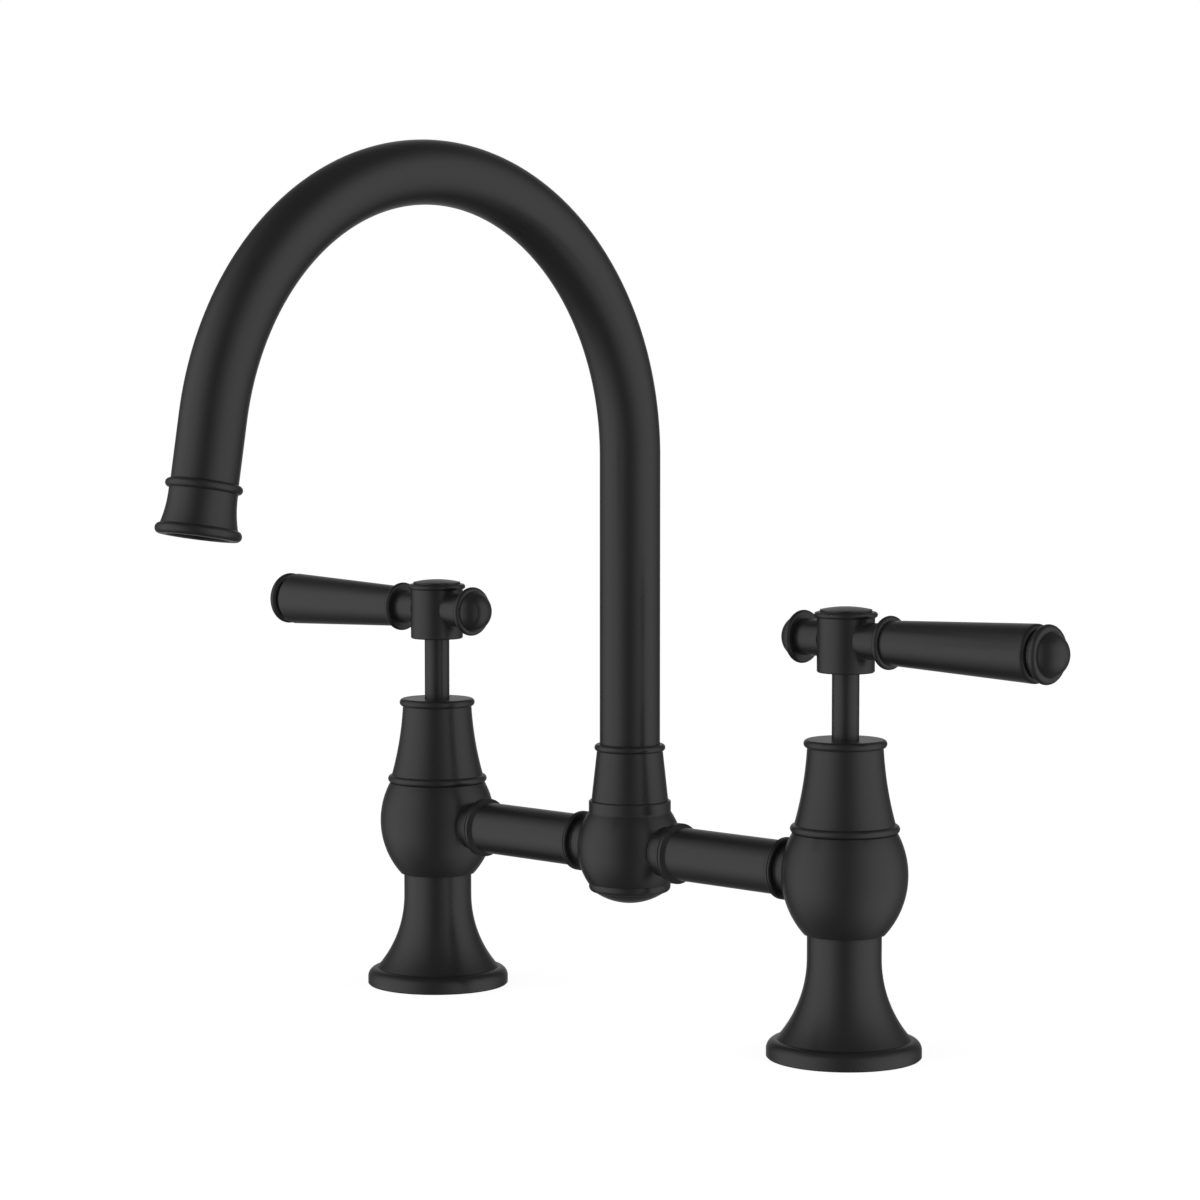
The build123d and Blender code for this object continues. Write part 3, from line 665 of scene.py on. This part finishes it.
# %% [markdown]
# ## Wires for the gauze
#
# The water leaves through a disc of woven steel wire, which breaks the jet up and draws in air.
# Real gauze for this has a wire every 0.5 mm. It is drawn with one every 0.8 mm to show. Geometry
# Nodes first lay straight wires side by side, by putting one wire on each point of a short line.

# %% Lay the wires
gauze_radius = 8.40 * mm
rim_inner = 8.15 * mm
rim_outer = 8.65 * mm
rim_height = 1.1 * mm
wire_pitch = 0.8 * mm
wire_radius = 0.125 * mm
wire_sides = 6  # few, because there are many wires
rim_columns = 96
wires = 2 * int(gauze_radius / wire_pitch) + 1
points_per_crossing = 4

gauze_sizes = {
    "Radius": gauze_radius,
    "Pitch": wire_pitch,
    "First wire": -wire_pitch * (wires - 1) / 2,
    "Wire radius": wire_radius,
    "Wires": wires,
    "Points": wires * points_per_crossing,
    "Rim middle": (rim_inner + rim_outer) / 2,
    "Rim width": rim_outer - rim_inner,
    "Rim height": rim_height,
}
tree, size = start_shape("wire_gauze", gauze_sizes)
right_end = add(tree, "ShaderNodeCombineXYZ", {"X": size["Radius"]})
left_end = add(tree, "ShaderNodeVectorMath", {0: right_end, "Scale": -1.0}, operation="SCALE")
wire = add(tree, "GeometryNodeCurvePrimitiveLine", {"Start": left_end, "End": right_end})
wire = add(tree, "GeometryNodeResampleCurve", {"Curve": wire, "Count": size["Points"]})
start = add(tree, "ShaderNodeCombineXYZ", {"Y": size["First wire"]})
step = add(tree, "ShaderNodeCombineXYZ", {"Y": size["Pitch"]})
places = add(tree, "GeometryNodeMeshLine", {
    "Count": size["Wires"], "Start Location": start, "Offset": step,
})
instances = add(tree, "GeometryNodeInstanceOnPoints", {"Points": places, "Instance": wire})
side_by_side = add(tree, "GeometryNodeRealizeInstances", [instances])
print("wires in each direction:", wires)


# %% [markdown]
# ## The weave
#
# In a plain weave each wire passes over one crossing wire and under the next, so its height is a
# wave of the place along it, and the neighbouring wire has the opposite wave: the product of a
# cosine along X and one along Y. The same step trims each wire to the chord of the round disc. The
# crossing set is the first one turned over and round by a quarter. A flat ring holds the edge.

# %% Weave the gauze
point = add(tree, "ShaderNodeSeparateXYZ", [add(tree, "GeometryNodeInputPosition")]).outputs
share = add(tree, "ShaderNodeMath", [point["Y"], size["Radius"]], operation="DIVIDE")
squared = add(tree, "ShaderNodeMath", [share, share], operation="MULTIPLY")
left_over = add(tree, "ShaderNodeMath", [1.0, squared], operation="SUBTRACT")
chord = add(tree, "ShaderNodeMath", [left_over], operation="SQRT")
trimmed = add(tree, "ShaderNodeMath", [point["X"], chord], operation="MULTIPLY")
per_metre = add(tree, "ShaderNodeMath", [math.pi, size["Pitch"]], operation="DIVIDE")
lift = size["Wire radius"]
for place in (trimmed, point["Y"]):
    phase = add(tree, "ShaderNodeMath", [place, per_metre], operation="MULTIPLY")
    wave = add(tree, "ShaderNodeMath", [phase], operation="COSINE")
    lift = add(tree, "ShaderNodeMath", [lift, wave], operation="MULTIPLY")
woven_place = add(tree, "ShaderNodeCombineXYZ", [trimmed, point["Y"], lift])
woven = add(tree, "GeometryNodeSetPosition", {"Geometry": side_by_side, "Position": woven_place})

wire_ring = add(tree, "GeometryNodeCurvePrimitiveCircle", {
    "Resolution": wire_sides, "Radius": size["Wire radius"],
})
warp = add(tree, "GeometryNodeCurveToMesh", {
    "Curve": woven, "Profile Curve": wire_ring, "Fill Caps": True,
})
weft = add(tree, "GeometryNodeTransform", {"Geometry": warp, "Rotation": (math.pi, 0, math.pi / 2)})
rim_path = add(tree, "GeometryNodeCurvePrimitiveCircle", {
    "Resolution": rim_columns, "Radius": size["Rim middle"],
})
rim_section = add(tree, "GeometryNodeCurvePrimitiveQuadrilateral", {
    "Width": size["Rim width"], "Height": size["Rim height"],
})
rim = add(tree, "GeometryNodeCurveToMesh", {"Curve": rim_path, "Profile Curve": rim_section})
disc = add(tree, "GeometryNodeJoinGeometry")
for part in (warp, weft, rim):
    tree.links.new(part.outputs[0], disc.inputs[0])
end_shape(tree, disc, turned_steel)

gauze = grow("outlet_wire_gauze", bpy.data.meshes.new("blank"), tree, gauze_sizes)
outlet_tilt = Matrix.Rotation(bend_angle, 4, "X")
gauze.transform(Matrix.Translation(middle("aerator_screen")) @ outlet_tilt)
place_piece("outlet_wire_gauze", gauze, "aerator_screen", "spout")


# %% [markdown]
# ## Studio light
#
# The photograph has a tall soft box to the left and one to the right of the camera, and nothing in
# front or above, so every round piece shows two soft light bands with a dark core between them. The
# boxes fade towards their edges. They are painted into the world as light from a range of azimuth
# and elevation, measured from the direction of the camera: far away, they light every piece alike.
# Behind the faucet is a white ground, which the camera sees as plain white. Glossy rays that leave
# the metal almost straight to the back see it too, which is why the flat tops and rims shine.

# %% Studio light
azimuth_fade = 62  # degrees from no light to full light
elevation_fade = 50
ambient_level = 0.09
# The azimuths and the elevations, in degrees, between which a light has over half its level.
soft_boxes = {
    "left": {"level": 0.88, "azimuths": (-115, -33), "elevations": (-40, 47)},
    "right": {"level": 0.81, "azimuths": (26, 108), "elevations": (-55, 45)},
}
white_ground = {"level": 0.54, "azimuths": (171, 240), "elevations": (-28, 32)}

world = bpy.data.worlds.new("studio")
scene.world = world
tree = empty_tree(world)
direction = add(tree, "ShaderNodeTexCoord").outputs["Generated"]
to_camera = (math.sin(camera_turn), -math.cos(camera_turn), 0)
to_right = (math.cos(camera_turn), math.sin(camera_turn), 0)
towards = [
    add(tree, "ShaderNodeVectorMath", [direction, way], operation="DOT_PRODUCT").outputs["Value"]
    for way in (to_right, to_camera)
]
up = add(tree, "ShaderNodeSeparateXYZ", [direction]).outputs["Z"]
right_of_camera = add(tree, "ShaderNodeMath", towards, operation="ARCTAN2")
above_level = add(tree, "ShaderNodeMath", [up], operation="ARCSINE")
azimuth = add(tree, "ShaderNodeMath", [right_of_camera], operation="DEGREES")
elevation = add(tree, "ShaderNodeMath", [above_level], operation="DEGREES")


def patch(light, azimuth):
    """Light from a range of azimuth and of elevation, which fades at its four edges."""
    level = light["level"]
    ranges = (
        (azimuth, light["azimuths"], azimuth_fade),
        (elevation, light["elevations"], elevation_fade),
    )
    for value, edges, width in ranges:
        for edge, half in zip(edges, (width / 2, -width / 2)):
            share = add(tree, "ShaderNodeMapRange", {
                "Value": value, "From Min": edge - half, "From Max": edge + half,
            }, interpolation_type="SMOOTHSTEP")
            level = add(tree, "ShaderNodeMath", [level, share], operation="MULTIPLY")
    return level


level = ambient_level
for light in soft_boxes.values():
    level = add(tree, "ShaderNodeMath", [level, patch(light, azimuth)], operation="ADD")

# The ground is the same on both sides of straight back, so it takes the azimuth without its sign.
either_side = add(tree, "ShaderNodeMath", [azimuth], operation="ABSOLUTE")
ray = add(tree, "ShaderNodeLightPath").outputs
ground = add(tree, "ShaderNodeMath", [patch(white_ground, either_side), ray["Is Glossy Ray"]],
             operation="MULTIPLY")
level = add(tree, "ShaderNodeMath", [level, ground], operation="ADD")
seen = add(tree, "ShaderNodeMath", [ray["Is Camera Ray"], ray["Is Transmission Ray"]],
           operation="MAXIMUM")
level = add(tree, "ShaderNodeMix", {0: seen, 2: level, 3: 1.0})
light = add(tree, "ShaderNodeBackground", {"Color": (1, 1, 1, 1), "Strength": level})
add(tree, "ShaderNodeOutputWorld", {"Surface": light})
scene.view_settings.view_transform = "Standard"
print("soft boxes:", list(soft_boxes))


# %% [markdown]
# ## The worktop
#
# The faucet stands on a pale floor at the height of the worktop. It is one-sided: from above it
# hides the shanks and nuts as a worktop does, and from below it is clear, so they can be looked at.
# The camera sees it as plain white with the object's faint shadow, because most of its brightness
# is emission for camera rays only. It sends no light back, since the soft boxes already have that.

# %% Worktop
floor_radius = 6.0  # metres
floor_drop = 0.05 * mm  # keeps it just under the flanges, so that no two faces coincide
floor_colour = "#A0A0A0"
floor_glow = 0.92  # and the light on its colour adds the rest of plain white

floor_mesh = bpy.data.meshes.new("worktop")
circle = bmesh.new()
bmesh.ops.create_circle(circle, cap_ends=True, radius=floor_radius, segments=64)
bmesh.ops.translate(circle, verts=circle.verts, vec=(0, 0, -floor_drop))
circle.to_mesh(floor_mesh)
circle.free()
floor = bpy.data.objects.new("worktop", floor_mesh)
scene.collection.objects.link(floor)
floor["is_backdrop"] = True
floor.visible_glossy = False
floor.visible_diffuse = False
floor.visible_shadow = False

pale_floor = bpy.data.materials.new("pale_floor")
tree = empty_tree(pale_floor)
ray = add(tree, "ShaderNodeLightPath").outputs
seen = add(tree, "ShaderNodeMath", [ray["Is Camera Ray"], ray["Is Transmission Ray"]],
           operation="MAXIMUM")
white = add(tree, "ShaderNodeMath", [seen, floor_glow], operation="MULTIPLY")
glow = add(tree, "ShaderNodeEmission", {"Strength": white})
matt = add(tree, "ShaderNodeBsdfDiffuse", {"Color": linear(floor_colour)})
above = add(tree, "ShaderNodeAddShader", [matt, glow])
clear = add(tree, "ShaderNodeBsdfTransparent")
is_below = add(tree, "ShaderNodeNewGeometry").outputs["Backfacing"]
both = add(tree, "ShaderNodeMixShader", [is_below, above, clear])
add(tree, "ShaderNodeOutputMaterial", {"Surface": both})
floor_mesh.materials.append(pale_floor)
print("the worktop is at", round(floor_mesh.vertices[0].co.z / mm, 2), "mm")


# %% [markdown]
#
# The new pieces must not make the object larger than its solids. So the box of the dressed
# object is compared with the box of the solids, and the largest difference is printed.

# %% Compare the boxes
dressed_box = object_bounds()
difference = max((a - b).length for a, b in zip(cad_box, dressed_box))
print("boxes differ by", round(difference / mm, 3), "mm")
